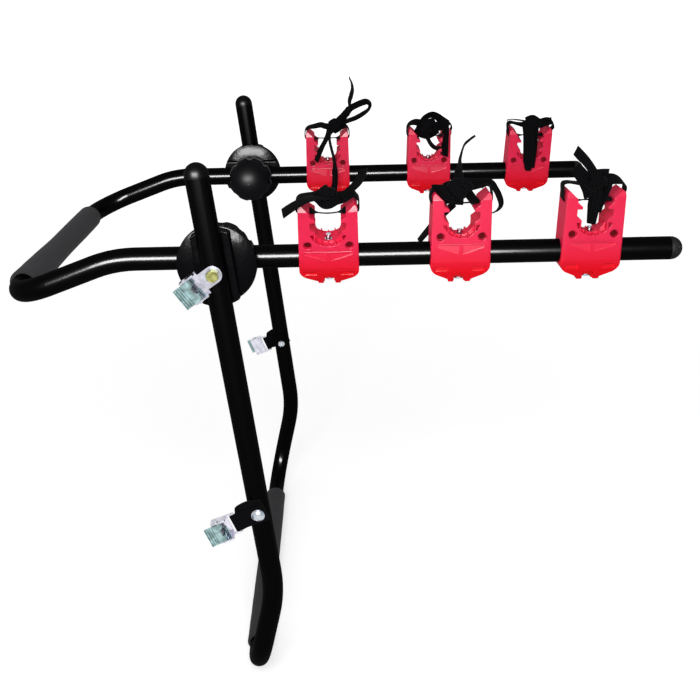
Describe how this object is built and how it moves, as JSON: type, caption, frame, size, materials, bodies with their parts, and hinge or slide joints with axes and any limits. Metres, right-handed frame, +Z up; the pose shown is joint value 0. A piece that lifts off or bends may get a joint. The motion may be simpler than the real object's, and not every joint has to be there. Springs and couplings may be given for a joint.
{
  "type": "rear door bicycle carrier",
  "caption": "Folding strap-on carrier that hangs bicycles behind a car: padded tube frame, locking toothed hubs, clamped toothed cradles with tie-down webbing and cam buckles.",
  "frame": {"origin": "middle of the lower padded bar, on the tube's centreline", "axes": "+X back along the arms, away from the car; +Y across the car to its right side as drawn; +Z up"},
  "size_m": [0.8355, 0.6176, 0.7852],
  "materials": {
    "powder_coat": "gloss black powder coat on steel tube",
    "cap_plastic": "moulded black plug, slightly worn",
    "foam": "matt charcoal closed-cell foam",
    "hub_plastic": "satin black moulded nylon",
    "knob_plastic": "satin black moulded nylon",
    "plain_steel": "turned steel",
    "yellow_zinc": "yellow passivated zinc",
    "zinc": "bright zinc plate",
    "dark_phosphate": "dark phosphate, oiled",
    "cradle_plastic": "glossy moulded red nylon",
    "webbing": "woven black polypropylene webbing",
    "buckle_zinc": "blue-white zinc on pressed steel",
    "spring_steel": "drawn spring steel"
  },
  "bodies": {
    "frame": {"frame_tube": "powder_coat", "leg_end_caps": "cap_plastic", "lower_foam_sleeve": "foam", "hub_outer_disc_left": "hub_plastic", "hub_outer_disc_right": "hub_plastic", "hub_bolts": "yellow_zinc", "washers": "zinc", "lower_bolts": "zinc", "lower_dome_nuts": "zinc"},
    "carrier": {"carrier_tube": "powder_coat", "arm_end_caps": "cap_plastic", "upper_foam_sleeve": "foam", "hub_inner_disc_left": "hub_plastic", "hub_inner_disc_right": "hub_plastic", "cradle_1_outboard_half_left": "cradle_plastic", "cradle_1_outboard_half_right": "cradle_plastic", "cradle_1_inboard_half_left": "cradle_plastic", "cradle_1_inboard_half_right": "cradle_plastic", "cradle_2_outboard_half_left": "cradle_plastic", "cradle_2_outboard_half_right": "cradle_plastic", "cradle_2_inboard_half_left": "cradle_plastic", "cradle_2_inboard_half_right": "cradle_plastic", "cradle_3_outboard_half_left": "cradle_plastic", "cradle_3_outboard_half_right": "cradle_plastic", "cradle_3_inboard_half_left": "cradle_plastic", "cradle_3_inboard_half_right": "cradle_plastic", "cradle_clamp_bolts": "zinc", "cradle_clamp_nuts": "zinc", "cradle_screws": "dark_phosphate", "cradle_screw_nuts": "dark_phosphate", "cradle_strap_1_left": "webbing", "cradle_strap_1_right": "webbing", "cradle_strap_2_left": "webbing", "cradle_strap_2_right": "webbing", "cradle_strap_3_left": "webbing", "cradle_strap_3_right": "webbing"},
    "knob_left": {"knob_left": "knob_plastic", "knob_insert_left": "plain_steel"},
    "upper_buckle_left": {"upper_buckle_plate_left": "buckle_zinc", "upper_buckle_pin_left": "buckle_zinc"},
    "upper_lever_left": {"upper_buckle_cam_lever_left": "buckle_zinc", "upper_buckle_spring_left": "spring_steel"},
    "lower_buckle_left": {"lower_buckle_plate_left": "buckle_zinc", "lower_buckle_pin_left": "buckle_zinc", "webbing_tab_left": "webbing"},
    "lower_lever_left": {"lower_buckle_cam_lever_left": "buckle_zinc", "lower_buckle_spring_left": "spring_steel"},
    "knob_right": {"knob_right": "knob_plastic", "knob_insert_right": "plain_steel"},
    "upper_buckle_right": {"upper_buckle_plate_right": "buckle_zinc", "upper_buckle_pin_right": "buckle_zinc"},
    "upper_lever_right": {"upper_buckle_cam_lever_right": "buckle_zinc", "upper_buckle_spring_right": "spring_steel"},
    "lower_buckle_right": {"lower_buckle_plate_right": "buckle_zinc", "lower_buckle_pin_right": "buckle_zinc", "webbing_tab_right": "webbing"},
    "lower_lever_right": {"lower_buckle_cam_lever_right": "buckle_zinc", "lower_buckle_spring_right": "spring_steel"}
  },
  "joints": [
    {"name": "carrier_fold", "type": "hinge", "parent": "frame", "child": "carrier", "pos_m": [-0.01115, 0, 0.60995], "axis": [0, 1, 0], "range_deg": [-40, 84.29]},
    {"name": "knob_left_spin", "type": "hinge", "parent": "frame", "child": "knob_left", "pos_m": [-0.01115, -0.2088, 0.60995], "axis": [0, 1, 0], "continuous": true},
    {"name": "upper_buckle_left_swivel", "type": "hinge", "parent": "frame", "child": "upper_buckle_left", "pos_m": [-0.01115, -0.2893, 0.60995], "axis": [0, 1, 0], "range_deg": [-75, 75]},
    {"name": "upper_lever_left_press", "type": "hinge", "parent": "upper_buckle_left", "child": "upper_lever_left", "pos_m": [-0.03464, -0.2983, 0.5938], "axis": [0.5664, 0, -0.8241], "range_deg": [0, 22], "stiffness_Nm_per_rad": 0.1, "springref_deg": -28.65},
    {"name": "lower_buckle_left_swivel", "type": "hinge", "parent": "frame", "child": "lower_buckle_left", "pos_m": [0.02113, -0.2893, 0.28716], "axis": [0, 1, 0], "range_deg": [-75, 75]},
    {"name": "lower_lever_left_press", "type": "hinge", "parent": "lower_buckle_left", "child": "lower_lever_left", "pos_m": [-0.02751, -0.3001, 0.26849], "axis": [0.3584, 0, -0.9336], "range_deg": [0, 22], "stiffness_Nm_per_rad": 0.1, "springref_deg": -28.65},
    {"name": "knob_right_spin", "type": "hinge", "parent": "frame", "child": "knob_right", "pos_m": [-0.01115, 0.2088, 0.60995], "axis": [0, 1, 0], "continuous": true},
    {"name": "upper_buckle_right_swivel", "type": "hinge", "parent": "frame", "child": "upper_buckle_right", "pos_m": [-0.01115, 0.2893, 0.60995], "axis": [0, 1, 0], "range_deg": [-75, 75]},
    {"name": "upper_lever_right_press", "type": "hinge", "parent": "upper_buckle_right", "child": "upper_lever_right", "pos_m": [-0.03464, 0.2983, 0.5938], "axis": [-0.5664, 0, 0.8241], "range_deg": [0, 22], "stiffness_Nm_per_rad": 0.1, "springref_deg": -28.65},
    {"name": "lower_buckle_right_swivel", "type": "hinge", "parent": "frame", "child": "lower_buckle_right", "pos_m": [0.02113, 0.2893, 0.28716], "axis": [0, 1, 0], "range_deg": [-75, 75]},
    {"name": "lower_lever_right_press", "type": "hinge", "parent": "lower_buckle_right", "child": "lower_lever_right", "pos_m": [-0.02751, 0.3001, 0.26849], "axis": [-0.3584, 0, 0.9336], "range_deg": [0, 22], "stiffness_Nm_per_rad": 0.1, "springref_deg": -28.65}
  ]
}
